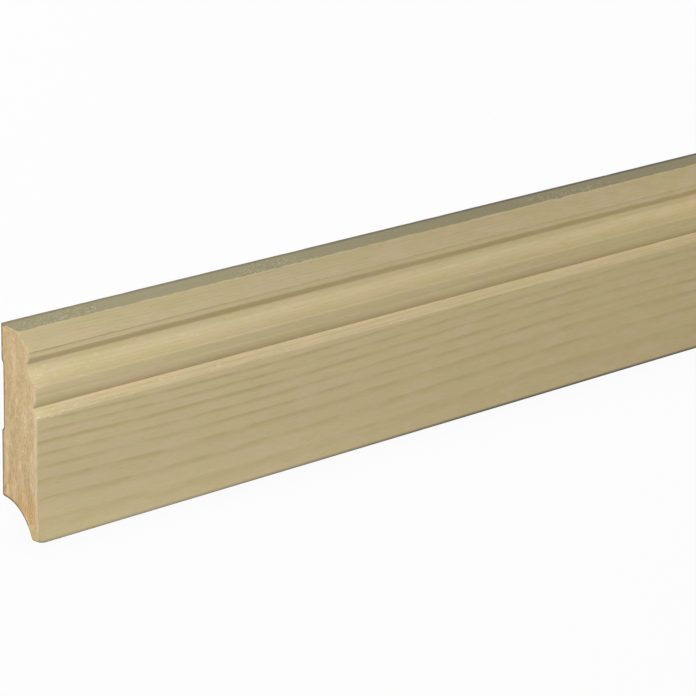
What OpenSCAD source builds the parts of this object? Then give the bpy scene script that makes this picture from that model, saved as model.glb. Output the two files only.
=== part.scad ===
// A planed softwood skirting board with a moulded top edge, cut as one length of stock.
// It lies unfixed on its back: X runs along the board, Y from its floor edge to its
// top edge, and Z from the wall side up to the face.

/* [Board] */
// Length of the board as it is sold
board_l = 2400; // [600:100:4800]
// Height of the board on the wall
board_h = 70; // [64:1:120]
// Thickness from the wall side to the flat face
board_t = 20; // [19:0.5:26]

/* [Foot and hollow] */
// Thickness of the foot that stands on the floor
foot_t = 4.2; // [3.5:0.1:6]
// Height of the hollow cut from the foot of the back
hollow_h = 10.5; // [9:0.5:14]
// Radius of the hollow
hollow_r = 13.8; // [11:0.2:14]
// Radius on the front edge of the foot
toe_r = 1.3; // [0.5:0.1:2]
// Radius on the back edge of the foot
heel_r = 0.8; // [0.4:0.1:1.2]
// Radius where the hollow comes out on the wall side
hollow_edge_r = 0.8; // [0.4:0.1:1.5]

/* [Wall side] */
// Height of the land that bears on the wall below the top edge
upper_land = 12.4; // [8:0.2:16]
// Height above the floor of the lower land's top
lower_land_top = 33.4; // [26:0.2:40]
// Depth of the relief groove between the lands
groove_depth = 1; // [0.5:0.1:2]
// Run of each sloping side of the groove
groove_side = 1.2; // [0.6:0.1:3]

/* [Top bevel] */
// Thickness left at the top edge
top_t = 9.8; // [8:0.2:11]
// Height of the rounded bevel below the top edge
bevel_h = 5.2; // [4:0.1:7]
// Distance of the bevel's nose behind the flat face
nose_set = 4; // [3.2:0.1:4.6]
// Radius of the bevel's swell
bevel_r = 28; // [16:1:60]

/* [Quirk and cove] */
// Step of the nose over the lip below it
nose_step = 0.2; // [0.1:0.05:0.5]
// Height of the lip under the nose
lip_h = 1.9; // [1:0.1:2.5]
// Height of the undercut from the lip to the bottom of the quirk
quirk_h = 2.4; // [2:0.1:4]
// Depth of the quirk behind the flat face
quirk_set = 5.4; // [5:0.1:6.5]
// Radius of the cove
cove_r = 6.3; // [5.8:0.1:7.5]

/* [Bead and shoulder] */
// Distance of the bead's front behind the flat face
bead_set = 0.45; // [0.2:0.05:1]
// Radius on the top of the bead
bead_r = 0.9; // [0.5:0.1:2.2]
// Height of the flat on the bead's front
bead_flat = 2.3; // [1:0.1:4]
// Radius of the bead's underside
bead_under_r = 7; // [4:0.1:8]
// Depth of the corner under the bead behind the flat face
shoulder_set = 2.3; // [1.6:0.1:3]
// Height of the sloping shoulder from that corner to the flat face
shoulder_h = 2.7; // [2:0.1:4]

/* [Hidden] */
$fn = 96;

// A cutter runs this far past the face that it cuts
over = 1;

// Points of the section are [height above the floor, depth from the wall]

function half_chord(r, offset) = sqrt(r * r - offset * offset);

// Foot and hollow
heel = [0, board_t - foot_t];
hollow_c = [hollow_h - hollow_r, heel.y - half_chord(hollow_r, hollow_h - hollow_r)];
heel_c = [heel_r, hollow_c.y + half_chord(hollow_r + heel_r, heel_r - hollow_c.x)];

// Top bevel
nose = [board_h - bevel_h, board_t - nose_set];
bevel_top = [board_h, top_t];
bevel_chord = bevel_top - nose;
bevel_out = [-bevel_chord.y, bevel_chord.x] / norm(bevel_chord);
bevel_c = (nose + bevel_top) / 2 - half_chord(bevel_r, norm(bevel_chord) / 2) * bevel_out;

// Lip, quirk and cove
lip = [nose.x - lip_h, nose.y - nose_step];
quirk = [lip.x - quirk_h, board_t - quirk_set];
cove_c = quirk + [0, cove_r];

// Bead and shoulder
bead_front = board_t - bead_set;
bead_c = [
    cove_c.x - half_chord(cove_r + bead_r, cove_c.y - (bead_front - bead_r)),
    bead_front - bead_r
];
under_c = [bead_c.x - bead_flat, bead_front - bead_under_r];
under_y = board_t - shoulder_set;
under = [under_c.x - half_chord(bead_under_r, under_y - under_c.y), under_y];
shoulder = [under.x - shoulder_h, board_t];

// Where two tangent circles touch, seen from the first one
function touch(c1, r1, c2) = c1 + r1 * (c2 - c1) / norm(c2 - c1);

// A square corner of the section, cut back to an arc; inward points into the wood
module round_square(corner, inward, r) {
    c = corner + r * inward;
    far = corner - over * inward;
    difference() {
        polygon([c, [c.x, far.y], far, [far.x, c.y]]);
        translate(c) circle(r);
    }
}

// A corner between a flat and a hollow curve, cut back to an arc that meets both
module round_to_curve(flat_end, corner, curve_end, c, r) {
    difference() {
        polygon([flat_end, corner, curve_end]);
        translate(c) circle(r);
    }
}

module hollow_cut() {
    translate(hollow_c) circle(hollow_r);
    translate([-over, -over]) square([hollow_h + over, hollow_c.y + over]);
}

module foot_edges() {
    round_square([0, board_t], [1, -1], toe_r);
    round_square([hollow_h, 0], [1, 1], hollow_edge_r);
    round_to_curve(
        [0, heel_c.y],
        heel - [over, 0],
        touch(hollow_c, hollow_r, heel_c),
        heel_c, heel_r
    );
}

module groove_cut() {
    low = lower_land_top;
    high = board_h - upper_land;
    polygon([
        [low, -over],
        [low, 0],
        [low + groove_side, groove_depth],
        [high - groove_side, groove_depth],
        [high, 0],
        [high, -over]
    ]);
}

module bevel_cut() {
    difference() {
        translate([nose.x, top_t - over])
            square([bevel_h + over, board_t - top_t + 2 * over]);
        translate(bevel_c) circle(bevel_r);
    }
}

// The lip, the undercut and the room in front of them
module quirk_cut() {
    front = board_t + over;
    polygon([
        quirk,
        lip,
        [nose.x, lip.y],
        [nose.x, front],
        [quirk.x, front]
    ]);
}

module cove_cut() {
    intersection() {
        translate(cove_c) circle(cove_r);
        translate([quirk.x - 2 * cove_r, quirk.y - over])
            square([2 * cove_r, 2 * cove_r]);
    }
}

// The bead stands a little behind the flat face, with the shoulder below it
module bead_cut() {
    front = board_t + over;
    translate([under_c.x, bead_front]) square([board_h - under_c.x, bead_set + over]);
    difference() {
        polygon([
            shoulder,
            under,
            [under_c.x, under.y],
            [under_c.x, front],
            [shoulder.x, front]
        ]);
        translate(under_c) circle(bead_under_r);
    }
    round_to_curve(
        [bead_c.x, bead_front],
        [quirk.x - half_chord(cove_r, cove_c.y - bead_front), bead_front + over],
        touch(cove_c, cove_r, bead_c),
        bead_c, bead_r
    );
}

module section() {
    difference() {
        square([board_h, board_t]);
        hollow_cut();
        foot_edges();
        groove_cut();
        bevel_cut();
        quirk_cut();
        cove_cut();
        bead_cut();
    }
}

module skirting_board() {
    color([0.72, 0.67, 0.52])
    translate([-board_l / 2, -board_h / 2, 0])
    rotate([90, 0, 90])
    linear_extrude(height = board_l)
    section();
}

skirting_board();
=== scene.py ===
# %% [markdown]
# # A planed softwood skirting board
#
# A skirting board is one length of stock. A moulder planes it and runs its profile in one
# pass, and a saw cuts it to length. So there is one body here, and the work is in a true
# section, in the fibres that the cutters lift, and in the wood, whose lines have to agree
# where a face meets a sawn end.
#
# The frame holds the board's solid. It lies on its back: X runs along the
# board, Y from its floor edge to its top edge, and Z from the wall side up to the face.

import math

import bmesh
import bpy
import numpy as np
from mathutils import Matrix, Vector, geometry
from mathutils.bvhtree import BVHTree


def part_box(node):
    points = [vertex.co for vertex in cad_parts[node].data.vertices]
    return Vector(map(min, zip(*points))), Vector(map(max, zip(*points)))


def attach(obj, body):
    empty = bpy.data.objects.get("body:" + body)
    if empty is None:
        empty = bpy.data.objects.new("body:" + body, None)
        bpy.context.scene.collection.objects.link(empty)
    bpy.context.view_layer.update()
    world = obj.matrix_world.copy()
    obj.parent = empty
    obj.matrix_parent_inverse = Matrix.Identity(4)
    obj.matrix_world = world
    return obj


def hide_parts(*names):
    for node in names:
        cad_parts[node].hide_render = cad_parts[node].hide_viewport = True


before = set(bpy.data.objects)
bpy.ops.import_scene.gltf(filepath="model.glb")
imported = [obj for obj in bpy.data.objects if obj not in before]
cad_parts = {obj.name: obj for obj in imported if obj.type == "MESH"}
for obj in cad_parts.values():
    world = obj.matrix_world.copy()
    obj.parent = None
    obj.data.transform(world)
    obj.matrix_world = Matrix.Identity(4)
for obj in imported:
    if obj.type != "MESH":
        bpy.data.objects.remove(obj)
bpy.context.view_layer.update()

MM = 0.001
low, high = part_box("skirting_board")
LENGTH = high.x - low.x
HEIGHT = (high.y - low.y) / MM
THICK = (high.z - low.z) / MM
print(f"board: {LENGTH:.3f} m long, {HEIGHT:.1f} mm high, {THICK:.1f} mm thick")

# %% [markdown]
# ## The camera
#
# The photograph was taken with a long lens, from beyond the left end, a little above the
# board. It is given here the way a photographer would say it: the point it looks at, how
# far the view is swung from square on to the face, how far it is raised, and its distance.

# %% Camera
VIEW_POINT = Vector((-1.07344, 0.00431, 0.02))
VIEW_SWING = math.radians(40.242)
VIEW_RISE = math.radians(21.428)
VIEW_ROLL = math.radians(1.943)
VIEW_DISTANCE = 1.02983
VIEW_LENS = 157.26


def new_object(name, data):
    made = bpy.data.objects.new(name, data)
    bpy.context.collection.objects.link(made)
    return made


def add_camera():
    swing_cos, swing_sin = math.cos(VIEW_SWING), math.sin(VIEW_SWING)
    rise_cos, rise_sin = math.cos(VIEW_RISE), math.sin(VIEW_RISE)
    ahead = Vector((swing_sin * rise_cos, -rise_sin, -swing_cos * rise_cos))
    level = Vector((swing_cos, 0, swing_sin))
    up = level.cross(ahead)
    right = math.cos(VIEW_ROLL) * level + math.sin(VIEW_ROLL) * up
    up = right.cross(ahead)
    data = bpy.data.cameras.new("camera")
    data.lens = VIEW_LENS
    data.sensor_width = 36
    data.clip_start = 0.01
    data.clip_end = 50
    camera = new_object("camera", data)
    turn = Matrix((right, up, -ahead)).transposed()
    camera.matrix_world = Matrix.Translation(VIEW_POINT - VIEW_DISTANCE * ahead) @ turn.to_4x4()
    bpy.context.scene.camera = camera
    print("camera at", [round(v, 3) for v in camera.location])


add_camera()

# %% [markdown]
# ## The section
#
# The cutters that make a moulding are straight edges and arcs, so its section is drawn as
# lines and arcs between points worked out from the cutters' sizes. Sizes are in
# millimetres, and a point is its height above the floor edge and its depth from the wall.

# %% Sizes of the section
FOOT_T = 4.2
HOLLOW_H = 10.5
HOLLOW_R = 13.8
TOE_R = 1.3
HEEL_R = 0.8
HOLLOW_EDGE_R = 0.8
UPPER_LAND = 12.4
LOWER_LAND_TOP = 33.4
GROOVE_DEPTH = 1.0
GROOVE_SIDE = 1.2
TOP_T = 9.8
BEVEL_H = 5.2
NOSE_SET = 4.0
BEVEL_R = 28.0
NOSE_STEP = 0.2
LIP_H = 1.9
QUIRK_H = 2.4
QUIRK_SET = 5.4
COVE_R = 6.3
BEAD_SET = 0.45
BEAD_R = 0.9
BEAD_FLAT = 2.3
BEAD_UNDER_R = 7.0
SHOULDER_SET = 2.3
SHOULDER_H = 2.7


# %% Lines and arcs of the section
def point(height, depth):
    return Vector((height, depth))


def half_chord(radius, offset):
    return math.sqrt(radius * radius - offset * offset)


def touch(c1, r1, c2):
    """Where two circles touch, seen from the first one's centre."""
    return c1 + r1 * (c2 - c1).normalized()


def arc(centre, start, end, step=0.4):
    """Points from start to end round a centre, the shorter way, both ends included."""
    radius = (start - centre).length
    first = math.atan2(*(start - centre).yx)
    sweep = math.remainder(math.atan2(*(end - centre).yx) - first, math.tau)
    count = max(3, math.ceil(abs(sweep) * radius / step))
    turns = [first + sweep * i / count for i in range(count + 1)]
    return [centre + radius * point(math.cos(a), math.sin(a)) for a in turns]


def section_runs():
    """The outline as (name, points) runs, up the face, over the top and down the back."""
    heel = point(0, THICK - FOOT_T)
    hollow_c = point(HOLLOW_H - HOLLOW_R, heel.y - half_chord(HOLLOW_R, HOLLOW_H - HOLLOW_R))
    heel_c = point(HEEL_R, hollow_c.y + half_chord(HOLLOW_R + HEEL_R, HEEL_R - hollow_c.x))
    nose = point(HEIGHT - BEVEL_H, THICK - NOSE_SET)
    bevel_top = point(HEIGHT, TOP_T)
    chord = bevel_top - nose
    out = point(-chord.y, chord.x).normalized()
    bevel_c = (nose + bevel_top) / 2 - half_chord(BEVEL_R, chord.length / 2) * out
    lip = nose - point(LIP_H, NOSE_STEP)
    quirk = point(lip.x - QUIRK_H, THICK - QUIRK_SET)
    cove_c = quirk + point(0, COVE_R)
    bead_front = THICK - BEAD_SET
    reach = half_chord(COVE_R + BEAD_R, cove_c.y - (bead_front - BEAD_R))
    bead_c = point(cove_c.x - reach, bead_front - BEAD_R)
    under_c = point(bead_c.x - BEAD_FLAT, bead_front - BEAD_UNDER_R)
    under_y = THICK - SHOULDER_SET
    under = point(under_c.x - half_chord(BEAD_UNDER_R, under_y - under_c.y), under_y)
    shoulder = point(under.x - SHOULDER_H, THICK)
    bead_end = touch(cove_c, COVE_R, bead_c)
    hollow_end = touch(hollow_c, HOLLOW_R, heel_c)
    groove_top = HEIGHT - UPPER_LAND
    groove_low = LOWER_LAND_TOP
    edge_c = point(HOLLOW_H + HOLLOW_EDGE_R, HOLLOW_EDGE_R)
    toe_c = point(TOE_R, THICK - TOE_R)
    groove = [
        point(groove_top, 0),
        point(groove_top - GROOVE_SIDE, GROOVE_DEPTH),
        point(groove_low + GROOVE_SIDE, GROOVE_DEPTH),
        point(groove_low, 0),
    ]
    return [
        ("toe", arc(toe_c, point(0, toe_c.y), point(toe_c.x, THICK), 0.25)),
        ("face", [point(toe_c.x, THICK), shoulder]),
        ("shoulder", [shoulder, under]),
        ("under bead", arc(under_c, under, point(under_c.x, bead_front))),
        ("bead", [point(under_c.x, bead_front), point(bead_c.x, bead_front)]),
        ("bead round", arc(bead_c, point(bead_c.x, bead_front), bead_end, 0.3)),
        ("cove", arc(cove_c, bead_end, quirk)),
        ("quirk", [quirk, lip]),
        ("lip", [lip, point(nose.x, lip.y)]),
        ("nose", [point(nose.x, lip.y), nose]),
        ("bevel", arc(bevel_c, nose, bevel_top, 0.8)),
        ("top edge", [bevel_top, point(HEIGHT, 0)]),
        ("upper land", [point(HEIGHT, 0), groove[0]]),
        ("groove", groove),
        ("lower land", [groove[3], point(edge_c.x, 0)]),
        ("hollow edge", arc(edge_c, point(edge_c.x, 0), point(HOLLOW_H, edge_c.y), 0.25)),
        ("hollow roof", [point(HOLLOW_H, edge_c.y), point(HOLLOW_H, hollow_c.y)]),
        ("hollow", arc(hollow_c, point(HOLLOW_H, hollow_c.y), hollow_end, 0.7)),
        ("heel", arc(heel_c, hollow_end, point(0, heel_c.y), 0.25)),
        ("foot", [point(0, heel_c.y), point(0, toe_c.y)]),
    ]


runs = section_runs()
UNDER_Y = (dict(runs)["shoulder"][1].x - HEIGHT / 2) * MM
print("section:", len(runs), "runs,", sum(len(p) - 1 for _, p in runs), "steps")

# %% [markdown]
# ## From runs to an outline
#
# No arris on planed wood is a perfect edge, so every sharp corner gets a small round, and
# the long flats are split so that the fine relief has points to move. Each point keeps what
# later steps read: how far round the outline it is, how close to an outer arris, how much
# painted light and shade its run gets, and how much the fibres tear there. They tear most on
# the shoulder and in the cove, where the cutters meet the grain at an angle.

# %% Outline points
ARRIS_R = 0.22
INNER_R = 0.9
ARRIS_TURN = math.radians(14)
FLAT_STEP = 1.3
ARRIS_REACH = 0.7
TEAR = {
    "shoulder": 1.0,
    "cove": 0.55,
    "bead round": 0.35,
    "bead": 0.12,
    "bevel": 0.1,
    "top edge": 0.45,
    "nose": 0.5,
    "toe": 0.3,
    "face": 0.02,
}
# Painted light and shade by run: lighter under the bead, on the lip and in the quirk, darker on the
# bevel and the bead's crest.
RUN_LIGHT_AND_SHADE = {
    "bevel": (0.86,),
    "lip": (1.07,),
    "quirk": (1.06, 1.01, 1.13),
    "cove": (1.02, 1.03, 1.02, 1.0),
    "bead round": (0.98, 0.93, 1.0),
    "under bead": (1.12,),
}


def light_and_shade_at(p, name):
    """Painted light and shade here as a colour factor, set from the bottom to the top of a run."""
    levels = RUN_LIGHT_AND_SHADE.get(name, (1.0,))
    heights = [q.x for q in dict(runs)[name]]
    return np.interp(p.x, np.linspace(min(heights), max(heights), len(levels)), levels)


def eased_corner(before, corner, after):
    """A sharp corner as a short curve, with 1 for an outer arris and -1 for an inner one."""
    a, b = before - corner, after - corner
    turn = math.pi - a.angle(b)
    if turn <= ARRIS_TURN:
        return [corner], 0
    side = 1 if a.x * b.y - a.y * b.x > 0 else -1
    reach = (ARRIS_R if side > 0 else INNER_R) * math.tan(turn / 2)
    cut = min(reach, 0.45 * a.length, 0.45 * b.length)
    start, end = corner + a.normalized() * cut, corner + b.normalized() * cut
    curve = [
        (1 - t) ** 2 * start + 2 * t * (1 - t) * corner + t * t * end for t in (0, 0.33, 0.67, 1)
    ]
    return curve, side


def outline_points():
    """The closed outline: each point with its run's name and its kind of arris."""
    ring = [(p, name) for name, points in runs for p in points[:-1]]
    out = []
    for i, (p, name) in enumerate(ring):
        curve, side = eased_corner(ring[i - 1][0], p, ring[(i + 1) % len(ring)][0])
        out += [(q, name, side) for q in curve]
    split = []
    for i, (p, name, side) in enumerate(out):
        split.append((p, name, side))
        after = out[(i + 1) % len(out)][0]
        pieces = math.ceil((after - p).length / FLAT_STEP)
        split += [(p.lerp(after, k / pieces), name, 0) for k in range(1, pieces)]
    return split


outline = outline_points()
ring_mm = np.array([p[:] for p, _, _ in outline])
step_mm = np.linalg.norm(np.roll(ring_mm, -1, 0) - ring_mm, axis=1)
run_mm = np.concatenate([[0], np.cumsum(step_mm)[:-1]])
AROUND = float(step_mm.sum())
arris_mm = ring_mm[[side > 0 for _, _, side in outline]]
arris_gap = np.linalg.norm(ring_mm[:, None] - arris_mm[None], axis=2).min(1)
arris = np.clip(1 - arris_gap / ARRIS_REACH, 0, 1)
tear = np.array([TEAR.get(name, 0.0) for _, name, _ in outline])
# Painted light and shade for each point, from its run's factor.
tone = np.array([light_and_shade_at(p, name) for p, name, _ in outline])
print(f"outline: {len(outline)} points, {AROUND:.1f} mm round, least step {step_mm.min():.3f} mm")

# %% [markdown]
# ## The sawn end
#
# A saw leaves an end flat but rough, so it needs points inside it to roughen. A constrained
# Delaunay triangulation takes the outline as its border and a scatter of inner points, and
# gives even triangles. Its border points are the outline's own, so the end and the sides
# join without a gap.

# %% End plate mesh
PLATE_STEP = 0.62
PLATE_SEED = 11


def gap_to_outline(points):
    """Distance of each point from the nearest stretch of the outline."""
    start, end = ring_mm, np.roll(ring_mm, -1, 0)
    along = end - start
    best = np.full(len(points), 1e9)
    for s, v in zip(start, along):
        t = np.clip(((points - s) @ v) / (v @ v), 0, 1)
        best = np.minimum(best, np.linalg.norm(points - s - t[:, None] * v, axis=1))
    return best


def inside(points):
    """True where a point lies inside the outline, by counting the edges beside it."""
    hits = np.zeros(len(points), int)
    for s, e in zip(ring_mm, np.roll(ring_mm, -1, 0)):
        spans = (s[1] > points[:, 1]) != (e[1] > points[:, 1])
        slope = (e[0] - s[0]) / (e[1] - s[1]) if e[1] != s[1] else 0.0
        hits += spans & (points[:, 0] < s[0] + slope * (points[:, 1] - s[1]))
    return hits % 2 == 1


def plate_points():
    """Jittered points on a grid of triangles, inside the outline and off its edge."""
    rng = np.random.default_rng(PLATE_SEED)
    rows = np.arange(PLATE_STEP / 2, THICK, PLATE_STEP * 0.866)
    cells = np.arange(PLATE_STEP / 2, HEIGHT, PLATE_STEP)
    grid = np.array([(h + PLATE_STEP / 2 * (k % 2), d) for k, d in enumerate(rows) for h in cells])
    grid += rng.uniform(-0.16, 0.16, grid.shape) * PLATE_STEP
    return grid[inside(grid) & (gap_to_outline(grid) > 0.55 * PLATE_STEP)]


def end_plate():
    inner = plate_points()
    places = [Vector(p) for p in np.vstack([ring_mm, inner]).tolist()]
    border = [(i, (i + 1) % len(outline)) for i in range(len(outline))]
    verts, _, faces, owners, _, _ = geometry.delaunay_2d_cdt(places, border, [], 1, 1e-6)
    source = np.array([group[0] if group else 0 for group in owners])
    on_ring = source < len(outline)
    near = np.where(on_ring, source, 0)
    mesh = bpy.data.meshes.new("end_plate")
    flat = np.array([v[:] for v in verts])
    mesh.from_pydata([(0, (h - HEIGHT / 2) * MM, d * MM) for h, d in flat], [], faces)
    columns = {
        "arris": np.where(on_ring, arris[near], 0.0),
        "tear": np.where(on_ring, tear[near], 0.0),
        "tone": np.where(on_ring, tone[near], 1.0),
        "around": np.where(on_ring, run_mm[near] * MM, 0.0),
        "inset": np.where(on_ring, 0.0, gap_to_outline(flat) * MM),
    }
    for name, values in columns.items():
        mesh.attributes.new(name, "FLOAT", "POINT").data.foreach_set("value", values.tolist())
    build = bmesh.new()
    build.from_mesh(mesh)
    for face in build.faces:
        if face.normal.x > 0:
            face.normal_flip()
    build.to_mesh(mesh)
    build.free()
    print(f"end plate: {len(mesh.vertices)} points, {len(mesh.polygons)} faces")
    return mesh


plate = end_plate()

# %% [markdown]
# ## Building node trees in a script
#
# Geometry trees and shader trees are built alike: add a node, set its options, and give
# each input a value or another node's output. This class does the joining, so that the
# steps after it read as a list of what happens.


# %% Node helper
class Tree:
    """A node tree with short ways to add nodes and join them."""

    def __init__(self, tree):
        self.tree = tree

    def add(self, kind, *values, named=None, **settings):
        node = self.tree.nodes.new(kind)
        for name, value in settings.items():
            setattr(node, name, value)
        for socket, value in zip(node.inputs, values):
            self.feed(socket, value)
        for name, value in (named or {}).items():
            self.feed(node.inputs[name], value)
        return node

    def feed(self, socket, value):
        if isinstance(value, bpy.types.Node):
            value = value.outputs[0]
        if isinstance(value, bpy.types.NodeSocket):
            self.tree.links.new(value, socket)
        elif value is not None:
            socket.default_value = value

    def math(self, operation, *values):
        return self.add("ShaderNodeMath", *values, operation=operation).outputs[0]

    def minus(self, value, taken):
        return self.math("SUBTRACT", value, taken)

    def fold(self, operation, first, *others):
        for other in others:
            first = self.math(operation, first, other)
        return first

    def product(self, *values):
        return self.fold("MULTIPLY", *values)

    def total(self, *values):
        return self.fold("ADD", *values)

    def largest(self, *values):
        return self.fold("MAXIMUM", *values)

    def vector(self, operation, first, other):
        second = {"Scale" if operation == "SCALE" else 1: other}
        node = self.add("ShaderNodeVectorMath", first, operation=operation, named=second)
        return node.outputs["Vector"]

    def xyz(self, x, y, z):
        return self.add("ShaderNodeCombineXYZ", x, y, z)

    def parts(self, vector):
        return self.add("ShaderNodeSeparateXYZ", vector).outputs

    def span(self, value, low, high, to_low=0.0, to_high=1.0, smooth=False):
        """Takes a value from one range to another, clamped at both ends."""
        kind = "SMOOTHSTEP" if smooth else "LINEAR"
        ends = (low, high, to_low, to_high)
        node = self.add("ShaderNodeMapRange", value, *ends, interpolation_type=kind, clamp=True)
        return node.outputs["Result"]

    def band(self, value, centre, inner, outer, strength=1.0):
        """The strength within inner of the centre, falling to nothing at outer."""
        away = self.math("ABSOLUTE", self.minus(value, centre))
        return self.span(away, inner, outer, strength, 0.0)

    def noise(self, vector, waves=None, detail=2.0, rough=0.5, scale=1.0, output=0):
        """Noise with so many waves to the metre along each axis."""
        if waves:
            vector = self.vector("MULTIPLY", vector, waves)
        named = {"Vector": vector, "Scale": scale, "Detail": detail, "Roughness": rough}
        return self.add("ShaderNodeTexNoise", named=named).outputs[output]

    def mix(self, factor, a, b, blend="MIX"):
        named = {0: factor, 6: a, 7: b}
        return self.add("ShaderNodeMix", data_type="RGBA", blend_type=blend, named=named).outputs[2]

    def report(self, label):
        print(f"{label}: {len(self.tree.nodes)} nodes")


def new_group(name, kind, inputs, outputs):
    """A group from (name, socket, value) inputs and (name, socket) outputs."""
    group = bpy.data.node_groups.new(name, kind)
    for label, held, *value in inputs + outputs:
        way, held = "INPUT" if value else "OUTPUT", "NodeSocket" + held
        socket = group.interface.new_socket(name=label, in_out=way, socket_type=held)
        if value and value[0] is not None:
            socket.default_value = value[0]
    tree = Tree(group)
    return tree, tree.add("NodeGroupInput").outputs, tree.add("NodeGroupOutput").inputs


# %% [markdown]
# ## The wood
#
# Wood is a solid, so its pattern is worked out in space and not painted on each face. A
# ring that leaves the face then comes out of the sawn end at the right place by itself.
# Growth rings are the distance from a pith line that wanders along the board, divided by
# the width of a ring. Pale early wood darkens slowly to thin late wood, then drops back.


# %% Growth ring group
def growth_rings():
    tree, given, out = new_group(
        "growth rings",
        "ShaderNodeTree",
        [
            ("Place", "Vector", None),
            ("Ring width", "Float", 0.0013),
            ("Unevenness", "Float", 0.7),
            ("Pith height", "Float", -0.041),
            ("Pith depth", "Float", 0.1408),
            ("Sweep", "Float", 0.002),
            ("Sweep length", "Float", 0.36),
            ("Sweep start", "Float", -1.11),
            ("Wander", "Float", 0.005),
            ("Waver", "Float", 0.00022),
        ],
        [("Late wood", "Float"), ("Ring tone", "Float")],
    )
    place = given["Place"]
    split = tree.parts(place)
    along = split["X"]
    turn = tree.minus(along, given["Sweep start"])
    turn = tree.math("DIVIDE", tree.product(turn, math.tau), given["Sweep length"])
    sweep = tree.product(tree.math("COSINE", turn), given["Sweep"])
    slow = tree.xyz(tree.product(along, 1.1), 7.1, 3.3)
    drift = tree.vector("SUBTRACT", tree.noise(slow, detail=1.0, output=1), (0.5, 0.5, 0.5))
    drift = tree.parts(tree.vector("SCALE", drift, given["Wander"]))
    across = tree.total(tree.minus(split["Y"], given["Pith height"]), sweep, drift["X"])
    depth = tree.total(tree.minus(split["Z"], given["Pith depth"]), drift["Y"])
    across, depth = tree.math("POWER", across, 2.0), tree.math("POWER", depth, 2.0)
    radius = tree.math("SQRT", tree.total(across, depth))
    waver = tree.minus(tree.noise(place, (55.0, 180.0, 180.0)), 0.5)
    radius = tree.total(radius, tree.product(waver, given["Waver"]))
    count = tree.math("DIVIDE", radius, given["Ring width"])
    uneven = tree.noise(tree.xyz(count, 0.0, 4.0), detail=0.0, scale=0.55)
    count = tree.total(count, tree.product(uneven, given["Unevenness"]))
    phase = tree.math("FRACT", count)
    rise = tree.span(phase, 0.45, 0.86, smooth=True)
    fall = tree.span(phase, 0.88, 0.99, 1.0, 0.0, smooth=True)
    tree.feed(out["Late wood"], tree.product(rise, fall))
    ring = tree.add("ShaderNodeTexWhiteNoise", noise_dimensions="1D")
    tree.feed(ring.inputs["W"], tree.math("FLOOR", count))
    tree.feed(out["Ring tone"], ring.outputs["Value"])
    return tree.tree


RINGS = growth_rings()
print("growth rings:", len(RINGS.nodes), "nodes")

# %% [markdown]
# The second group makes what runs along the grain on every long face: pale and dark
# fibres, the breaks in a ring line where the knife crosses it, and a few short dark dashes
# where a resin canal is cut open. Each is a noise with few waves along X and many across.


# %% Long fibre group
def long_fibres():
    tree, given, out = new_group(
        "long fibres",
        "ShaderNodeTree",
        [("Place", "Vector", None), ("Fineness", "Float", 1.0)],
        [("Streak", "Float"), ("Hair", "Float"), ("Break", "Float"), ("Canal", "Float")],
    )
    place = tree.vector("SCALE", given["Place"], given["Fineness"])
    for name, waves, detail in (
        ("Streak", (50.0, 360.0, 360.0), 3.0),
        ("Hair", (240.0, 1700.0, 1700.0), 2.0),
        ("Break", (75.0, 260.0, 260.0), 1.0),
        ("Canal", (330.0, 2400.0, 2400.0), 0.0),
    ):
        tree.feed(out[name], tree.noise(place, waves, detail=detail, rough=0.6))
    return tree.tree


FIBRES = long_fibres()
print("long fibres:", len(FIBRES.nodes), "nodes")

# %% [markdown]
# The third group is the sawn end. The saw pulls the fibre ends into short bristles that
# lean up and down the board, and matts them into curls where the wood is soft, with torn
# pale specks and small dark pits between them.


# %% Sawn end group
def sawn_end():
    tree, given, out = new_group(
        "sawn end",
        "ShaderNodeTree",
        [("Place", "Vector", None), ("Coarseness", "Float", 1.0)],
        [(name, "Float") for name in ("Bristle", "Curl", "Speck", "Pit", "Patch")],
    )
    place = tree.vector("SCALE", given["Place"], given["Coarseness"])
    bend = tree.vector("SCALE", tree.noise(place, scale=150.0, output=1), 0.004)
    place = tree.vector("ADD", place, bend)
    for name, waves, detail, twist in (
        ("Bristle", (200.0, 260.0, 800.0), 3.0, 0.0),
        ("Curl", (120.0, 520.0, 680.0), 3.0, 1.2),
        ("Speck", (200.0, 900.0, 1500.0), 1.0, 0.0),
        ("Pit", (230.0, 650.0, 1200.0), 1.0, 0.0),
        ("Patch", (10.0, 45.0, 260.0), 2.0, 0.0),
    ):
        value = tree.noise(place, waves, detail=detail, rough=0.65)
        value.node.inputs["Distortion"].default_value = twist
        tree.feed(out[name], value)
    return tree.tree


SAWN = sawn_end()
print("sawn end:", len(SAWN.nodes), "nodes")

# %% [markdown]
# ## The colours
#
# Raw softwood is a pale straw colour that turns warmer along the board, with grey-rose and
# olive clouds a few centimetres long. The sawn end is more orange, because light enters the
# open fibres and comes out again. Colours are written as a screen shows them and turned
# into the linear values that a socket takes.


# %% Colours
def srgb(*levels):
    parts = [level / 255 for level in levels]
    linear = [((part + 0.055) / 1.055) ** 2.4 if part > 0.04 else part / 12.92 for part in parts]
    return (*linear, 1.0)


EARLY = srgb(190, 174, 134)
LATE = srgb(176, 160, 112)
OLIVE = srgb(188, 174, 128)
ROSE = srgb(194, 174, 137)
WARM = srgb(186, 165, 110)
CANAL = srgb(150, 134, 94)
FLECK = srgb(230, 208, 162)
# Painted shade for the recesses.
RECESS_SHADE = srgb(138, 122, 78)
# Painted shade for dark edge lines.
EDGE_SHADE = srgb(50, 44, 24)
END_EARLY = srgb(216, 187, 136)
END_LATE = srgb(192, 154, 102)
END_PALE = srgb(238, 212, 176)
END_GREEN = srgb(200, 176, 118)
END_WARM = srgb(222, 179, 114)
END_DARK = srgb(158, 124, 80)
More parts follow.
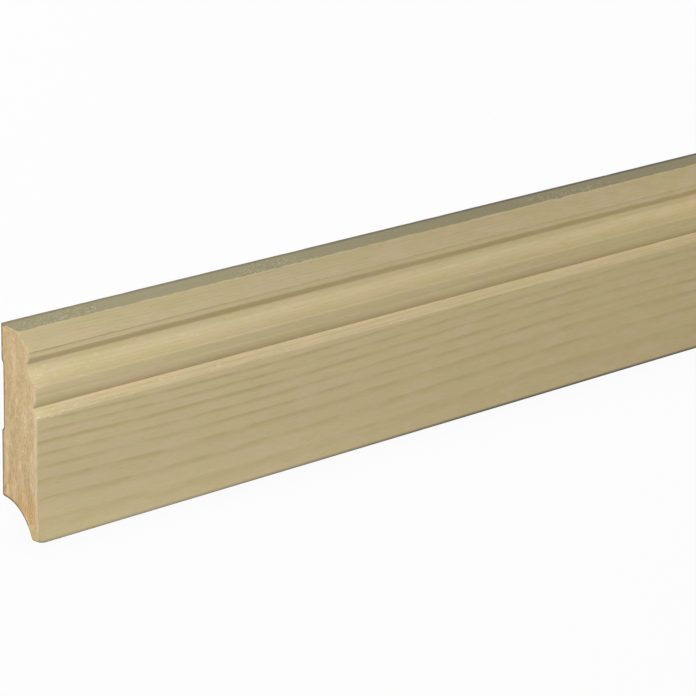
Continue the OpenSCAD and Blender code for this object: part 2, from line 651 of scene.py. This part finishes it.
# Painted shade for the sawn end's dark rim.
END_RIM_SHADE = srgb(84, 78, 52)
END_SPECK = srgb(248, 228, 194)
END_TOE = srgb(214, 192, 134)
END_TOE_LINE = srgb(230, 206, 142)
# The top edge's grey and warm colours carry painted shade as well as colour.
TOP_GREY_SHADED = srgb(148, 138, 99)
TOP_WARM_SHADED = srgb(120, 108, 64)
TOP_PIT = srgb(96, 90, 60)
LINT = srgb(196, 194, 164)
print("early wood, linear:", [round(part, 3) for part in EARLY[:3]])


# %% [markdown]
# ## One material for the whole board
#
# This is one block of wood, seen on planed faces, on a rough top edge and on sawn ends, so
# there is one material, and masks part its finishes. A mask's numbers are places in metres:
# Y runs from -0.035 at the floor edge to 0.035 at the top edge, and Z from 0 at the wall to
# 0.02 at the face. The cell below also gives the distance from the nearer end, and "ripe",
# which swings from paler to warmer wood along the board, once in each RIPE_LENGTH.


# %% Start the wood
RIPE_LENGTH = 0.8


def use_group(group):
    return wood.add("ShaderNodeGroup", node_tree=group, named={"Place": place}).outputs


def kept(name):
    """A value that the mesh keeps at its points or faces."""
    return wood.add("ShaderNodeAttribute", attribute_name=name).outputs["Fac"]


def darker(colour, tone):
    return wood.mix(1.0, colour, wood.add("ShaderNodeCombineColor", tone, tone, tone), "MULTIPLY")


def by_y(*ends):
    """A mask by the height on the board: 0 at the first place and 1 at the second."""
    return wood.span(spot["Y"], *ends)


def by_z(*ends):
    """The same by the depth from the wall."""
    return wood.span(spot["Z"], *ends)


def new_material(name):
    material = bpy.data.materials.new(name)
    material.use_nodes = True
    material.node_tree.nodes.clear()
    return material, Tree(material.node_tree)


RAW_SOFTWOOD, wood = new_material("raw_softwood")
place = wood.add("ShaderNodeTexCoord").outputs["Object"]
spot = wood.parts(place)
to_end = wood.minus(LENGTH / 2, wood.math("ABSOLUTE", spot["X"]))
swing = wood.product(wood.total(spot["X"], LENGTH / 2), math.tau / RIPE_LENGTH)
ripe = wood.span(wood.math("COSINE", swing), 1.0, -1.0)
fibres = use_group(FIBRES)
wood.report("wood so far")

# %% [markdown]
# ## The planed faces
#
# A planed face takes the ground colour and its clouds first, then the ring lines. A knife
# cuts a ring at a low angle, so its line breaks up along the board. The lines are faint on
# the mouldings, which are burnished, and plainest in the middle of the flat face.


# %% Rings on the planed faces
def planed_wood():
    rings = use_group(RINGS)
    cloud = wood.noise(place, (70.0, 190.0, 190.0))
    face = wood.mix(wood.product(ripe, 0.7), EARLY, WARM)
    face = wood.mix(wood.span(cloud, 0.5, 0.66, 0.0, 0.8), face, ROSE)
    face = wood.mix(wood.span(cloud, 0.5, 0.36, 0.0, 0.8), face, OLIVE)
    strength = wood.product(
        wood.span(rings["Ring tone"], 0.0, 1.0, 0.5, 1.0),
        by_y(0.008, 0.012, 1.0, 0.32),
        by_y(-0.012, -0.003, 1.1, 1.7),
        by_y(-0.028, -0.014, 0.55, 1.0),
        wood.span(fibres["Break"], 0.36, 0.6, 0.3, 1.1),
    )
    face = wood.mix(wood.product(rings["Late wood"], strength), face, LATE)
    return wood.mix(wood.span(fibres["Canal"], 0.74, 0.8, 0.0, 0.3), face, CANAL)


face = planed_wood()
wood.report("with rings")

# %% [markdown]
# Fine fibres lighten and darken the ground by a few hundredths. Each stretch of the section
# is painted lighter or darker as painted light and shade, which the mesh keeps as "tone". Low
# on the face the wood is paler near the left end, and the mouldings are duller a hand's width on.


# %% Tone of the planed faces
def planed_tone():
    glow = wood.total(wood.span(ripe, 0.0, 0.45, 0.11, 0.0), wood.span(ripe, 0.5, 0.8, 0.0, -0.03))
    low = wood.product(by_y(-0.017, -0.031), glow)
    dull = wood.product(
        by_y(0.009, 0.015),
        wood.band(spot["X"], -LENGTH / 2 + 0.15, 0.06, 0.14, 0.05),
    )
    # The mesh's tone is painted light and shade, run by run.
    return wood.product(
        wood.span(fibres["Streak"], 0.25, 0.75, 0.97, 1.025),
        wood.span(fibres["Hair"], 0.25, 0.75, 0.97, 1.03),
        wood.minus(wood.total(low, 1.0), dull),
        kept("tone"),
    )


face = darker(face, planed_tone())
wood.report("with fibres")

# %% [markdown]
# ## Marks and painted shade
#
# Each mark is a mask and a colour. The cutters tear pale flecks out near the ends, and
# painted shade darkens the wood under the nose, in the quirk and under the bead. There is one
# short pale scratch, and a painted dark line of shade runs along the foot's front edge, where
# it turns under.


# %% Torn flecks and painted shade
def flecked(face):
    near_end = wood.span(to_end, 0.0, 0.11, 1.0, 0.25)
    fleck = wood.noise(place, (260.0, 1900.0, 1900.0))
    cluster = wood.noise(place, (60.0, 300.0, 300.0), detail=0.0)
    fleck = wood.span(wood.total(fleck, wood.product(cluster, 0.3)), 0.83, 0.9)
    fleck = wood.total(wood.product(fleck, near_end), wood.span(to_end, 0.0, 0.007, 0.3, 0.0))
    return wood.mix(wood.product(fleck, kept("tear")), face, FLECK)


# Painted shade: darker under the nose, in the quirk and in the corner under the bead.
def shaded_recesses(face):
    nose_y = (HEIGHT / 2 - BEVEL_H) * MM
    quirk_y = nose_y - (LIP_H + 1.4) * MM
    in_quirk = wood.band(spot["Y"], quirk_y, 0.0002, 0.0016, 0.2)
    under_nose = wood.band(spot["Y"], nose_y - 0.0002, 0.0001, 0.0003, 0.45)
    recess_shade = wood.largest(
        wood.product(under_nose, wood.span(to_end, 0.0, 0.1, 1.0, 0.0)),
        wood.product(in_quirk, wood.span(ripe, 0.0, 0.3, 1.0, 0.2)),
        wood.band(spot["Y"], UNDER_Y - 0.0002, 0.0002, 0.0006, 0.12),
    )
    return wood.mix(wood.product(recess_shade, by_z(0.012, 0.013)), face, RECESS_SHADE)


face = shaded_recesses(flecked(face))
wood.report("with flecks and dust")


# %% Scratch and painted shade on the toe's edge
def scratched(face):
    slant = wood.minus(spot["Y"], wood.product(spot["X"], 0.04))
    scratch = wood.product(
        wood.band(slant, 0.02795, 0.00003, 0.00018, 0.55),
        wood.band(to_end, 0.0046, 0.0022, 0.003),
        wood.span(spot["X"], 0.0, -1.0),
        by_z(0.0193, 0.0197),
    )
    return wood.mix(scratch, face, FLECK)


# Painted shade: a dark line along the foot's front edge, where the toe turns under.
def shaded_toe_edge(face):
    toe_edge_shade = wood.product(
        by_y(-0.0332, -0.0342),
        wood.span(ripe, 0.0, 0.5, 0.25, 1.0),
        by_z(0.0165, 0.018),
    )
    return wood.mix(toe_edge_shade, face, EDGE_SHADE)


face = shaded_toe_edge(scratched(face))
wood.report("with scratch and soil")

# %% [markdown]
# ## The top edge
#
# The narrow top edge was planed by another cutter and left rougher. It is greyer, and painted
# shade makes it darker than the face, more so where the wood warms along the board. It holds
# lint in patches, and its back arris gets a painted dark line of shade. It meets the bevel in a
# ragged line, so the mask that parts the two gets a little noise of its own.


# %% Top edge
LINT_SPACING = 0.074


def top_mask():
    ragged = wood.noise(place, (240.0, 700.0, 700.0))
    ragged = wood.total(spot["Z"], wood.product(ragged, 0.0016))
    before_bevel = wood.span(ragged, (TOP_T + 0.85) * MM, (TOP_T + 0.55) * MM)
    return wood.product(by_y(0.03482, 0.03496), before_bevel)


def top_edge():
    patch = wood.noise(place, (26.0, 60.0, 60.0), detail=1.0)
    spacing = wood.product(wood.total(spot["X"], LENGTH / 2 - 0.022), math.tau / LINT_SPACING)
    patch = wood.total(patch, wood.product(wood.math("COSINE", spacing), 0.16))
    patch = wood.product(wood.span(patch, 0.5, 0.66, 0.15, 0.85), by_z(0.002, 0.006, 0.5, 1.0))
    lint = wood.noise(place, (1300.0, 1900.0, 1900.0), rough=0.6)
    # Painted shade: the edge darkens as the wood warms along the board, more than the face does.
    top = wood.mix(wood.span(ripe, 0.05, 0.5, 0.0, 0.75), TOP_GREY_SHADED, TOP_WARM_SHADED)
    top = wood.mix(wood.product(wood.span(lint, 0.57, 0.69), patch), top, LINT)
    top = wood.mix(wood.product(wood.span(lint, 0.44, 0.32), patch, 0.8), top, TOP_PIT)
    # Painted shade: a dark line along the back arris of the top edge.
    back_arris_shade = wood.product(by_z(0.0014, 0.0023, 0.95, 0.0), wood.span(ripe, 0.0, 0.8, 0.4, 1.0))
    return wood.mix(back_arris_shade, top, EDGE_SHADE)


face = wood.mix(top_mask(), face, top_edge())
face = wood.mix(kept("sliver"), face, FLECK)
wood.report("with the top edge")

# %% [markdown]
# ## The sawn end
#
# The end starts from the same rings, so they agree with the lines on the face. It is then
# roughened, mostly by curls above, where the saw came in, and by bristles below.


# %% Sawn wood
def sawn_wood(sawn):
    rings = use_group(RINGS)
    below = by_y(0.004, -0.018)
    end = wood.mix(by_y(-0.012, -0.026), END_EARLY, END_WARM)
    ring_show = wood.product(rings["Late wood"], wood.span(below, 0.0, 1.0, 0.12, 0.5))
    end = wood.mix(ring_show, end, END_LATE)
    end = wood.mix(wood.span(sawn["Patch"], 0.5, 0.68, 0.0, 0.6), end, END_PALE)
    end = wood.mix(wood.span(sawn["Patch"], 0.48, 0.3, 0.0, 0.5), end, END_GREEN)
    bristle = wood.span(sawn["Bristle"], 0.25, 0.75, -0.2, 0.2)
    bristle = wood.product(bristle, wood.span(below, 0.0, 1.0, 0.36, 1.0))
    curl = wood.span(sawn["Curl"], 0.3, 0.7, -0.17, 0.15)
    curl = wood.product(curl, wood.span(below, 0.0, 1.0, 1.0, 0.5))
    curl = wood.product(curl, by_y(0.01, 0.03, 1.0, 0.6))
    end = darker(end, wood.total(bristle, curl, 1.0))
    end = wood.mix(wood.span(sawn["Speck"], 0.66, 0.74, 0.0, 0.75), end, END_SPECK)
    return wood.mix(wood.span(sawn["Pit"], 0.31, 0.24, 0.0, 0.6), end, END_DARK)


sawn = use_group(SAWN)
end = sawn_wood(sawn)
wood.report("with sawn wood")

# %% [markdown]
# Its rims differ. The front arris is crushed pale by the saw, and so are two soft bands
# beside the front and the back. The back arris and the hollow's edge get a painted dark line
# of shade. The toe has been rubbed smooth, so that no end grain shows there, below a pale line.


# %% Rims of the sawn end
def pale_rims(end, uneven):
    front = wood.product(
        wood.band(kept("inset"), 0.0011, 0.0004, 0.0009, 0.95),
        by_z(0.008, 0.013),
        by_y(0.012, 0.002, 0.45, 1.0),
    )
    inner = wood.product(
        wood.band(spot["Z"], 0.0168, 0.0006, 0.002, 0.7),
        by_y(0.0, -0.006),
        by_y(-0.022, -0.016),
    )
    back = wood.product(wood.band(spot["Z"], 0.0028, 0.0005, 0.0014, 0.9), by_y(0.002, -0.004))
    return wood.mix(wood.product(wood.largest(front, inner, back), uneven), end, END_PALE)


# Painted shade: a dark line along the back arris and the hollow's edge.
def shaded_rims(end):
    behind = wood.largest(by_z(0.003, 0.0015), by_y(-0.022, -0.024))
    rim_shade = wood.product(
        wood.span(kept("inset"), 0.0004, 0.0011, 0.85, 0.0),
        by_z(0.0185, 0.0175),
        behind,
    )
    return wood.mix(rim_shade, end, END_RIM_SHADE)


def rubbed_toe(end):
    end = wood.mix(by_y(-0.0312, -0.0305, 0.85, 0.0), end, END_TOE)
    return wood.mix(wood.band(spot["Y"], -0.0304, 0.0001, 0.0004, 0.6), end, END_TOE_LINE)


end = pale_rims(end, wood.span(sawn["Bristle"], 0.36, 0.58, 0.25, 1.0))
end = rubbed_toe(shaded_rims(end))
wood.report("with its rims")

# %% [markdown]
# ## Joining the finishes
#
# "sawn" is kept on the faces of the end plates and parts the end from the rest. The fibres
# lift the surface by a tenth of a millimetre at most, which a bump shows well enough.


# %% Finish the wood
def finish_wood():
    is_end = kept("sawn")
    lift = {0: is_end, 2: fibres["Hair"], 3: wood.product(sawn["Bristle"], 3.0)}
    height = wood.add("ShaderNodeMix", data_type="FLOAT", named=lift)
    relief = {"Strength": 0.5, "Distance": 0.0001, "Height": height}
    bump = wood.add("ShaderNodeBump", named=relief)
    looks = {"Base Color": wood.mix(is_end, face, end), "Roughness": 0.52, "Normal": bump}
    shader = wood.add("ShaderNodeBsdfPrincipled", named=looks)
    wood.add("ShaderNodeOutputMaterial", shader)


finish_wood()
wood.report("finished wood")

# %% [markdown]
# ## Sweeping the board
#
# Geometry Nodes turn the end plate's border into a curve and sweep it along a line, whose
# steps crowd towards the ends, where the eye rests. A sweep would turn and scale the
# section to suit the line, so each point's place is put together again from its section
# point and its place on the line, which are both kept before the sweep.

# %% Start the board tree
shape, given, shape_out = new_group(
    "moulded board",
    "GeometryNodeTree",
    [
        ("Plate", "Geometry", None),
        ("Half length", "Float", 1.2),
        ("Steps", "Int", 320),
        ("Crowding", "Float", 1.6),
        ("Saw relief", "Float", 0.0002),
        ("End easing", "Float", 0.00018),
        ("Arris wear", "Float", 0.00012),
        ("Foot wear", "Float", 0.00085),
        ("Out of square", "Float", 0.0007),
        ("Slivers", "Float", 1.0),
        ("Seed", "Int", 3),
        ("Wood", "Material", None),
    ],
    [("Board", "Geometry")],
)
here = shape.add("GeometryNodeInputPosition").outputs[0]
shape.report("board tree so far")


# %% Section and path
def keep_place(geometry, label):
    """Keeps each point's place, to be read after the sweep."""
    node = shape.add("GeometryNodeCaptureAttribute", geometry)
    node.capture_items.new("VECTOR", label)
    shape.feed(node.inputs[1], here)
    return node


def border_curve():
    """The plate's border as a curve: its edges are those with one face."""
    named = {2: shape.add("GeometryNodeInputMeshEdgeNeighbors"), 3: 1}
    border = shape.add("FunctionNodeCompare", data_type="INT", operation="EQUAL", named=named)
    curve = shape.add("GeometryNodeMeshToCurve", given["Plate"], border.outputs[0])
    return keep_place(curve, "Section point")


def crowded_line():
    """A line from end to end, with its points crowded towards both ends."""
    ends = {"Count": given["Steps"], "Start Location": (-1, 0, 0), "Offset": (1, 0, 0)}
    line = shape.add("GeometryNodeMeshLine", count_mode="TOTAL", mode="END_POINTS", named=ends)
    even = shape.parts(here)["X"]
    left = shape.minus(1.0, shape.math("ABSOLUTE", even))
    crowded = shape.minus(1.0, shape.math("POWER", left, given["Crowding"]))
    crowded = shape.product(crowded, shape.math("SIGN", even), given["Half length"])
    place = shape.xyz(crowded, 0.0, 0.0)
    spaced = shape.add("GeometryNodeSetPosition", line, named={"Position": place})
    return keep_place(shape.add("GeometryNodeMeshToCurve", spaced), "Path point")


def swept_sides():
    section, path = border_curve(), crowded_line()
    sides = shape.add("GeometryNodeCurveToMesh", path, section)
    along, across = shape.parts(path.outputs[1]), shape.parts(section.outputs[1])
    put = shape.xyz(along["X"], across["Y"], across["Z"])
    return shape.add("GeometryNodeSetPosition", sides, named={"Position": put})


sides = swept_sides()
shape.report("sides")

# %% [markdown]
# A plate then closes each end. The second one is the same plate with its faces turned over,
# so both look outwards. The plates' faces are marked as sawn before they are joined to the
# sides, and points that meet within 4 thousandths of a millimetre become one.


# %% End plates
JOIN_REACH = 0.000004


def joined(*pieces):
    node = shape.add("GeometryNodeJoinGeometry")
    for piece in pieces:
        shape.tree.links.new(piece.outputs[0], node.inputs[0])
    return node


def marked(geometry, name):
    """Keeps a 1 on every face, under the name that the material reads."""
    kind, named = "GeometryNodeStoreNamedAttribute", {"Name": name, "Value": 1.0}
    return shape.add(kind, geometry, named=named, data_type="FLOAT", domain="FACE")


def end_plates():
    plates = []
    for sign in (-1.0, 1.0):
        shift = shape.xyz(shape.product(given["Half length"], sign), 0.0, 0.0)
        placed = shape.add("GeometryNodeTransform", given["Plate"], named={"Translation": shift})
        plates.append(shape.add("GeometryNodeFlipFaces", placed) if sign > 0 else placed)
    return marked(joined(*plates), "sawn")


whole = joined(sides, end_plates())
whole = shape.add("GeometryNodeMergeByDistance", whole, named={"Distance": JOIN_REACH})
shape.report("with ends")

# %% [markdown]
# ## Wear and relief
#
# No edge of new stock is perfect. Arrises are rubbed here and there, the rim of each end is
# eased, the saw leaves the end rough, and the foot's corner is knocked off and was cut a
# little out of square. All of it cuts into the CAD solid.


# %% Wear
def mesh_value(name):
    return shape.add("GeometryNodeInputNamedAttribute", name, data_type="FLOAT").outputs[0]


def rubbed():
    """A move along the surface's own normal, into the wood."""
    wear = shape.product(shape.span(torn, 0.45, 0.75), mesh_value("arris"), given["Arris wear"])
    easing = shape.product(
        shape.span(from_end, 0.0, 0.0003, 1.0, 0.0),
        shape.span(mesh_value("inset"), 0.0, 0.0003, 1.0, 0.0),
        given["End easing"],
    )
    normal = shape.add("GeometryNodeInputNormal").outputs[0]
    return shape.vector("SCALE", normal, shape.product(shape.total(wear, easing), -1.0))


def end_cut():
    """A move along the board, where the saw was rough or leant."""
    grain = shape.noise(drifted, (300.0, 520.0, 1100.0), detail=3.0, rough=0.65)
    grain = shape.span(grain, 0.3, 0.7)
    off_rim = shape.span(mesh_value("inset"), 0.0, 0.0008)
    askew = shape.product(
        shape.span(across["Y"], -0.018, -0.035),
        shape.span(across["Z"], 0.0, 0.02),
        shape.span(from_end, 0.0, 0.004, 1.0, 0.0),
        given["Out of square"],
    )
    cut = shape.total(shape.product(grain, off_rim, given["Saw relief"]), askew)
    return shape.product(cut, shape.math("SIGN", across["X"]), -1.0)


def foot_corner():
    """A move up and back at the foot's corners."""
    return shape.product(
        shape.math("POWER", shape.span(from_end, 0.0, 0.0036, 1.0, 0.0), 2.0),
        shape.span(across["Y"], -0.0345, -0.0305, 1.0, 0.0, smooth=True),
        shape.span(across["Z"], 0.0155, 0.0195, 0.35, 1.0),
        given["Foot wear"],
    )


across = shape.parts(here)
from_end = shape.minus(given["Half length"], shape.math("ABSOLUTE", across["X"]))
drifted = shape.vector("ADD", here, shape.xyz(0.0, 0.0, given["Seed"]))
torn = shape.noise(drifted, (130.0, 300.0, 300.0), detail=3.0)
cut, corner = end_cut(), foot_corner()
offset = shape.xyz(cut, corner, shape.product(corner, -0.35))
worn = shape.add("GeometryNodeSetPosition", whole)
shape.feed(worn.inputs["Offset"], shape.vector("ADD", rubbed(), offset))
shape.report("with wear")

# %% [markdown]
# ## Torn fibres
#
# Near its ends the cutters tear fibres out of the shoulder, the cove and the top edge. They
# stand there as pale slivers: three-sided cones a millimetre long, on points scattered
# where the mesh's "tear" is high. A real sliver casts a shadow that a bump can't.


# %% Torn fibres
SLIVERS_PER_M2 = 1400000.0


def chance(least, most):
    named = {2: least, 3: most, "Seed": given["Seed"]}
    return shape.add("FunctionNodeRandomValue", data_type="FLOAT", named=named).outputs[1]


def sliver_points(surface):
    density = shape.product(
        shape.math("POWER", mesh_value("tear"), 2.0),
        shape.span(from_end, 0.0, 0.06, SLIVERS_PER_M2, 0.0),
        shape.span(torn, 0.42, 0.6),
        given["Slivers"],
    )
    named = {"Density": density, "Seed": given["Seed"]}
    points = shape.add("GeometryNodeDistributePointsOnFaces", surface, named=named)
    return shape.add("GeometryNodeRemoveAttribute", points.outputs["Points"], named={"Name": "sawn"})


def torn_fibres(surface):
    sizes = {"Radius Top": 0.00001, "Radius Bottom": 0.00006, "Depth": 0.0011}
    steps = {"Vertices": 3, "Side Segments": 2}
    blade = shape.add("GeometryNodeMeshCone", fill_type="NGON", named=sizes | steps)
    lean = shape.xyz(0.0, chance(1.25, 1.72), chance(-0.1, 0.1))
    stretch = shape.xyz(1.0, chance(0.8, 1.6), chance(0.35, 1.3))
    named = {"Instance": blade, "Rotation": lean, "Scale": stretch}
    points = sliver_points(surface)
    slivers = shape.add("GeometryNodeInstanceOnPoints", points, named=named)
    return marked(shape.add("GeometryNodeRealizeInstances", slivers), "sliver")


dressed = joined(worn, torn_fibres(worn))
shape.report("with torn fibres")

# %% [markdown]
# A sliver's points are held inside the board's box last, so that none sticks out of it.


# %% Finish the board tree
def held_in_box(geometry):
    far = shape.xyz(given["Half length"], HEIGHT / 2 * MM, THICK * MM)
    near = shape.vector("MULTIPLY", far, (-1.0, -1.0, 0.0))
    held = shape.vector("MAXIMUM", shape.vector("MINIMUM", here, far), near)
    return shape.add("GeometryNodeSetPosition", geometry, named={"Position": held})


finished = shape.add("GeometryNodeRealizeInstances", held_in_box(dressed))
finished = shape.add("GeometryNodeSetMaterial", finished, named={"Material": given["Wood"]})
shape.feed(shape_out[0], finished)
shape.report("finished board tree")

# %% [markdown]
# ## Running the tree
#
# A modifier runs the tree on the end plate, and the result is taken off as a plain mesh.
# It is then measured: an open edge would be a gap, and the distance to the CAD solid shows
# how much was worn off.


# %% Run the tree
def grow(name, base, group, **values):
    """Runs a geometry tree on a mesh and gives the result as a plain object."""
    source = new_object(name, base)
    modifier = source.modifiers.new(name, "NODES")
    modifier.node_group = group
    ids = {s.name: s.identifier for s in group.interface.items_tree if s.in_out == "INPUT"}
    for label, value in values.items():
        modifier[ids[label.replace("_", " ")]] = value
    depsgraph = bpy.context.evaluated_depsgraph_get()
    result = bpy.data.meshes.new_from_object(source.evaluated_get(depsgraph))
    source.modifiers.clear()
    source.data = result
    result.name = name
    result.shade_smooth()
    return source


board = grow("board", plate, shape.tree, Half_length=LENGTH / 2, Wood=RAW_SOFTWOOD)


# %% Measure the board
MEASURED_LENGTHS = 60


def report_mesh(obj):
    build = bmesh.new()
    build.from_mesh(obj.data)
    open_edges = sum(1 for e in build.edges if len(e.link_faces) != 2)
    volume = build.calc_volume(signed=True)
    triangles = sum(len(f.verts) - 2 for f in build.faces)
    build.free()
    print(f"{obj.name}: {triangles} triangles, {open_edges} open edges, {volume * 1e6:.1f} cm3")


def report_distance(obj, node):
    """How far the board's points lie from the solid that it stands for.

    The solid is cut into short lengths first. Its triangles are 2.4 m long and a few
    millimetres wide, and on such shapes the nearest point comes out millimetres off.
    """
    build = bmesh.new()
    build.from_mesh(node.data)
    for i in range(1, MEASURED_LENGTHS):
        place = (low.x + LENGTH * i / MEASURED_LENGTHS, 0, 0)
        geom = [*build.verts, *build.edges, *build.faces]
        bmesh.ops.bisect_plane(build, geom=geom, plane_co=place, plane_no=(1, 0, 0))
    solid = BVHTree.FromBMesh(build)
    build.free()
    gaps = [solid.find_nearest(v.co)[3] / MM for v in obj.data.vertices]
    print(f"from the solid: {np.mean(gaps):.3f} mm on average, {max(gaps):.2f} mm at most")


report_mesh(board)
report_distance(board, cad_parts["skirting_board"])

# %% [markdown]
# ## A map for the wood
#
# When the look is stored as a picture, a 2.4 m board unrolled in one strip would get very
# few picture points across its width. So it is cut into twelve lengths, stacked like
# planks. The sawn ends get a larger scale, and every face of a torn fibre gets a small
# square of its own.

# %% Lay out the map
LENGTHS = 12
COLUMNS = 3
LENGTH_GAP = 0.014
AROUND_GAP = 0.004
END_GAP = 0.006
END_SCALE = 3
SLIVER_CELL = 0.0026
SLIVER_FILL = 0.36
SLIVERS_UP = 0.068
MAP_SIDE = 0.8


def read(mesh, name, count):
    values = np.zeros(count, np.float32)
    if name in mesh.attributes:
        mesh.attributes[name].data.foreach_get("value", values)
    return values


def lay_out(mesh):
    points, faces, loops = len(mesh.vertices), len(mesh.polygons), len(mesh.loops)
    at = np.empty(points * 3, np.float32)
    mesh.vertices.foreach_get("co", at)
    vertex = np.empty(loops, np.int32)
    mesh.loops.foreach_get("vertex_index", vertex)
    sizes = np.empty(faces, np.int32)
    mesh.polygons.foreach_get("loop_total", sizes)
    face = np.repeat(np.arange(faces), sizes)
    x, y, z = at.reshape(-1, 3)[vertex].T
    around = read(mesh, "around", points)[vertex]
    is_sawn = read(mesh, "sawn", faces)[face] > 0.5
    sliver_faces = read(mesh, "sliver", faces) > 0.5
    is_sliver = sliver_faces[face]

    start = np.concatenate([[0], np.cumsum(sizes)[:-1]])
    middle = np.add.reduceat(x, start) / sizes
    widest = np.maximum.reduceat(around, start)[face]
    around = np.where(widest - around > AROUND * MM / 2, around + AROUND * MM, around)
    piece = LENGTH / LENGTHS
    length = np.clip((middle[face] + LENGTH / 2) // piece, 0, LENGTHS - 1)
    column, row = length % COLUMNS, length // COLUMNS
    u = x + LENGTH / 2 - length * piece + LENGTH_GAP / 2 + column * (piece + LENGTH_GAP)
    v = around + AROUND_GAP / 2 + row * (AROUND * MM + AROUND_GAP)
    top = LENGTHS // COLUMNS * (AROUND * MM + AROUND_GAP)

    right = (x > 0) * (HEIGHT * MM * END_SCALE + END_GAP)
    u = np.where(is_sawn, (y + HEIGHT / 2 * MM) * END_SCALE + END_GAP / 2 + right, u)
    v = np.where(is_sawn, top + AROUND_GAP + z * END_SCALE, v)

    order = np.cumsum(sliver_faces)[face] - 1
    across = int(MAP_SIDE / SLIVER_CELL) - 1
    turn = math.tau * (np.arange(loops) - start[face]) / sizes[face]
    cell_u = (order % across + 0.5 + SLIVER_FILL * np.cos(turn)) * SLIVER_CELL
    cell_v = (order // across + 0.5 + SLIVER_FILL * np.sin(turn)) * SLIVER_CELL
    u = np.where(is_sliver, cell_u, u)
    v = np.where(is_sliver, top + SLIVERS_UP + cell_v, v)
    print(f"map: {u.max():.3f} by {v.max():.3f} of {MAP_SIDE} m, {order.max() + 1} sliver faces")
    layer = mesh.uv_layers.new(name="OFBake")
    layer.data.foreach_set("uv", (np.stack([u, v], 1) / MAP_SIDE).astype(np.float32).ravel())


lay_out(board.data)
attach(board, "root")
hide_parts("skirting_board")

# %% [markdown]
# ## Floor and light
#
# The floor is white to the camera, with a little of its own shade, so that the board keeps
# a soft shadow. The main light is a wide, soft sun from above the moulded edge, and a large
# lamp beyond the left end adds the slow fall of light along the board.


# %% Floor
FLOOR_REACH = 12
FLOOR_CORNERS = ((-1, -1), (1, -1), (1, 1), (-1, 1))
FLOOR_WHITE = 0.94


def camera_sees(tree):
    """1 for rays that the camera sends out, or that a sheen passes on, and 0 for the rest."""
    rays = tree.add("ShaderNodeLightPath").outputs
    return tree.math("MAXIMUM", rays["Is Camera Ray"], rays["Is Glossy Ray"])


def floor_material():
    material, tree = new_material("floor")
    shade = tree.add("ShaderNodeBsdfDiffuse", (0.82, 0.82, 0.82, 1))
    glow = tree.add("ShaderNodeEmission", (1, 1, 1, 1), 1.0)
    shown = tree.product(camera_sees(tree), FLOOR_WHITE)
    tree.add("ShaderNodeOutputMaterial", tree.add("ShaderNodeMixShader", shown, shade, glow))
    return material


def add_floor():
    mesh = bpy.data.meshes.new("floor")
    corners = [(FLOOR_REACH * x, FLOOR_REACH * y, 0) for x, y in FLOOR_CORNERS]
    mesh.from_pydata(corners, [], [(0, 1, 2, 3)])
    mesh.materials.append(floor_material())
    floor = new_object("floor", mesh)


add_floor()


# %% Lights
def add_light(name, kind, strength, towards, **settings):
    """A lamp that shines from the way given by towards."""
    data = bpy.data.lights.new(name, kind)
    data.energy = strength
    for setting, value in settings.items():
        setattr(data, setting, value)
    lamp = new_object(name, data)
    lamp.rotation_euler = Vector(towards).to_track_quat("Z", "Y").to_euler()
    return lamp


def add_world():
    world = bpy.data.worlds.new("world")
    bpy.context.scene.world = world
    world.use_nodes = True
    world.node_tree.nodes.clear()
    tree = Tree(world.node_tree)
    fill = tree.add("ShaderNodeBackground", (1, 1, 1, 1), 0.16)
    white = tree.add("ShaderNodeBackground", (1, 1, 1, 1), 1.0)
    shown = tree.add("ShaderNodeMixShader", camera_sees(tree), fill, white)
    tree.add("ShaderNodeOutputWorld", shown)


add_light("overhead", "SUN", 0.95, (-0.25, 0.52, 0.82), angle=math.radians(24))
add_light("sheen", "SUN", 0.8, (0.6, 0.42, 0.69), angle=math.radians(26))
side = add_light("side", "AREA", 2.2, (-0.36, 0.36, 0.42), shape="DISK", size=0.36)
side.location = (-1.56, 0.36, 0.42)
add_world()
bpy.context.scene.view_settings.view_transform = "Standard"
